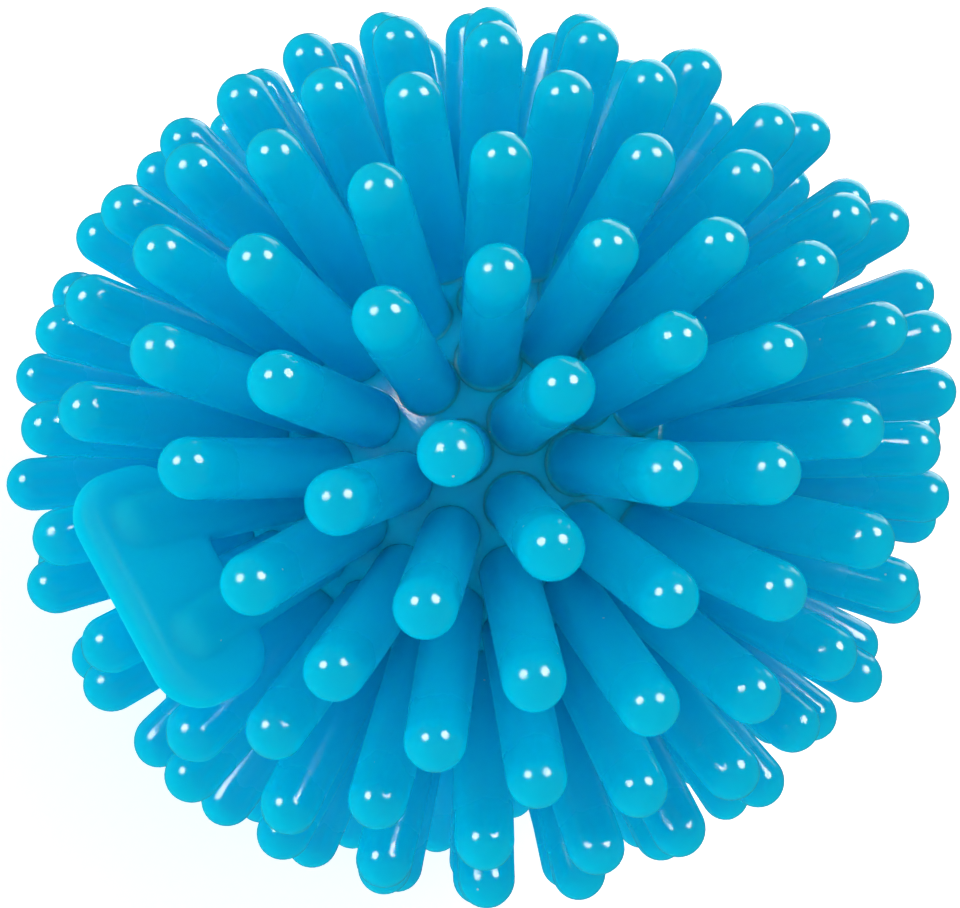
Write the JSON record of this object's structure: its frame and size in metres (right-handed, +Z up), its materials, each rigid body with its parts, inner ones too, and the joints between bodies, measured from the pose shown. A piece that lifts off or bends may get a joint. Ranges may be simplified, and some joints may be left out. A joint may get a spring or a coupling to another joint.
{
  "type": "massage ball",
  "caption": "Hollow soft blue massage ball with long round-ended fingers all over, a flat label plate between two fingers and an air plug; it squashes and springs back.",
  "frame": {"origin": "on the surface that the ball stands on, straight under the ball's centre", "axes": "+Z up along the axis that the finger rings stand round, from the valve to the finger on the pole; -Y toward the label plate's side"},
  "size_m": [0.0749, 0.0769, 0.0745],
  "materials": {
    "ball": "satin gloss, slightly translucent soft vinyl",
    "air_plug": "satin"
  },
  "bodies": {
    "base": {"core_skin": "ball", "valve_neck": "ball", "finger_ring_1_lower": "ball"},
    "crown": {"finger_ring_2_upper": "ball"},
    "pole_finger": {"pole_finger": "ball"},
    "crown_finger_1": {"crown_finger_1": "ball"},
    "crown_finger_2": {"crown_finger_2": "ball"},
    "crown_finger_3": {"crown_finger_3": "ball"},
    "crown_finger_4": {"crown_finger_4": "ball"},
    "crown_finger_5": {"crown_finger_5": "ball"},
    "crown_finger_6": {"crown_finger_6": "ball"},
    "ring_3_upper": {"finger_ring_3_upper": "ball"},
    "ring_4_upper": {"finger_ring_4_upper": "ball"},
    "ring_5_upper": {"finger_ring_5_upper": "ball"},
    "ring_6_upper": {"finger_ring_6_upper": "ball"},
    "ring_7_equator": {"finger_ring_7_equator": "ball"},
    "ring_6_lower": {"finger_ring_6_lower": "ball"},
    "ring_5_lower": {"finger_ring_5_lower": "ball"},
    "ring_4_lower": {"finger_ring_4_lower": "ball"},
    "ring_3_lower": {"finger_ring_3_lower": "ball"},
    "ring_2_lower": {"finger_ring_2_lower": "ball"},
    "label_tab": {"label_tab": "ball"},
    "air_plug": {"air_plug": "air_plug"}
  },
  "joints": [
    {"name": "squeeze", "type": "slide", "parent": "base", "child": "crown", "axis": [0, 0, -1], "range_m": [0, 0.003], "stiffness_N_per_m": 5000, "deforming": ["core_skin"]},
    {"name": "squeeze_ring_3_upper", "type": "slide", "parent": "base", "child": "ring_3_upper", "axis": [0, 0, -1], "range_m": [0, 0.00281]},
    {"name": "squeeze_ring_4_upper", "type": "slide", "parent": "base", "child": "ring_4_upper", "axis": [0, 0, -1], "range_m": [0, 0.00256]},
    {"name": "squeeze_ring_5_upper", "type": "slide", "parent": "base", "child": "ring_5_upper", "axis": [0, 0, -1], "range_m": [0, 0.00227]},
    {"name": "squeeze_ring_6_upper", "type": "slide", "parent": "base", "child": "ring_6_upper", "axis": [0, 0, -1], "range_m": [0, 0.00193]},
    {"name": "squeeze_ring_7_equator", "type": "slide", "parent": "base", "child": "ring_7_equator", "axis": [0, 0, -1], "range_m": [0, 0.00158]},
    {"name": "squeeze_ring_6_lower", "type": "slide", "parent": "base", "child": "ring_6_lower", "axis": [0, 0, -1], "range_m": [0, 0.00123]},
    {"name": "squeeze_ring_5_lower", "type": "slide", "parent": "base", "child": "ring_5_lower", "axis": [0, 0, -1], "range_m": [0, 0.000896]},
    {"name": "squeeze_ring_4_lower", "type": "slide", "parent": "base", "child": "ring_4_lower", "axis": [0, 0, -1], "range_m": [0, 0.000597]},
    {"name": "squeeze_ring_3_lower", "type": "slide", "parent": "base", "child": "ring_3_lower", "axis": [0, 0, -1], "range_m": [0, 0.000347]},
    {"name": "squeeze_ring_2_lower", "type": "slide", "parent": "base", "child": "ring_2_lower", "axis": [0, 0, -1], "range_m": [0, 0.000159]},
    {"name": "bend_pole_finger", "type": "hinge", "parent": "crown", "child": "pole_finger", "pos_m": [0, 0, 0.05766], "axis": [1, 0, 0], "range_deg": [-12, 12], "stiffness_Nm_per_rad": 0.012},
    {"name": "bend_crown_finger_1", "type": "hinge", "parent": "crown", "child": "crown_finger_1", "pos_m": [0.00298, 0.00361, 0.05713], "axis": [-0.6201, -0.7523, 0.2225], "range_deg": [-12, 12], "stiffness_Nm_per_rad": 0.012},
    {"name": "bend_crown_finger_2", "type": "hinge", "parent": "crown", "child": "crown_finger_2", "pos_m": [-0.00164, 0.00439, 0.05713], "axis": [0.3414, -0.9132, 0.2225], "range_deg": [-12, 12], "stiffness_Nm_per_rad": 0.012},
    {"name": "bend_crown_finger_3", "type": "hinge", "parent": "crown", "child": "crown_finger_3", "pos_m": [-0.00462, 0.00077, 0.05713], "axis": [0.9616, -0.1609, 0.2225], "range_deg": [-12, 12], "stiffness_Nm_per_rad": 0.012},
    {"name": "bend_crown_finger_4", "type": "hinge", "parent": "crown", "child": "crown_finger_4", "pos_m": [-0.00298, -0.00361, 0.05713], "axis": [0.6201, 0.7523, 0.2225], "range_deg": [-12, 12], "stiffness_Nm_per_rad": 0.012},
    {"name": "bend_crown_finger_5", "type": "hinge", "parent": "crown", "child": "crown_finger_5", "pos_m": [0.00164, -0.00439, 0.05713], "axis": [-0.3414, 0.9132, 0.2225], "range_deg": [-12, 12], "stiffness_Nm_per_rad": 0.012},
    {"name": "bend_crown_finger_6", "type": "hinge", "parent": "crown", "child": "crown_finger_6", "pos_m": [0.00462, -0.00077, 0.05713], "axis": [-0.9616, 0.1609, 0.2225], "range_deg": [-12, 12], "stiffness_Nm_per_rad": 0.012},
    {"name": "bend_label_tab", "type": "hinge", "parent": "ring_6_upper", "child": "label_tab", "pos_m": [-0.00441, -0.01988, 0.0413], "axis": [-0.9763, 0.2164, 0], "range_deg": [-10, 10], "stiffness_Nm_per_rad": 0.024},
    {"name": "pull_air_plug", "type": "slide", "parent": "base", "child": "air_plug", "axis": [0, 0, -1], "range_m": [0, 0.008]}
  ],
  "couplings": [
    {"joint": "squeeze_ring_3_upper", "follows": "squeeze", "ratio": 0.9373},
    {"joint": "squeeze_ring_4_upper", "follows": "squeeze", "ratio": 0.854},
    {"joint": "squeeze_ring_5_upper", "follows": "squeeze", "ratio": 0.7543},
    {"joint": "squeeze_ring_6_upper", "follows": "squeeze", "ratio": 0.6431},
    {"joint": "squeeze_ring_7_equator", "follows": "squeeze", "ratio": 0.526},
    {"joint": "squeeze_ring_6_lower", "follows": "squeeze", "ratio": 0.409},
    {"joint": "squeeze_ring_5_lower", "follows": "squeeze", "ratio": 0.2978},
    {"joint": "squeeze_ring_4_lower", "follows": "squeeze", "ratio": 0.1981},
    {"joint": "squeeze_ring_3_lower", "follows": "squeeze", "ratio": 0.1148},
    {"joint": "squeeze_ring_2_lower", "follows": "squeeze", "ratio": 0.0521}
  ]
}
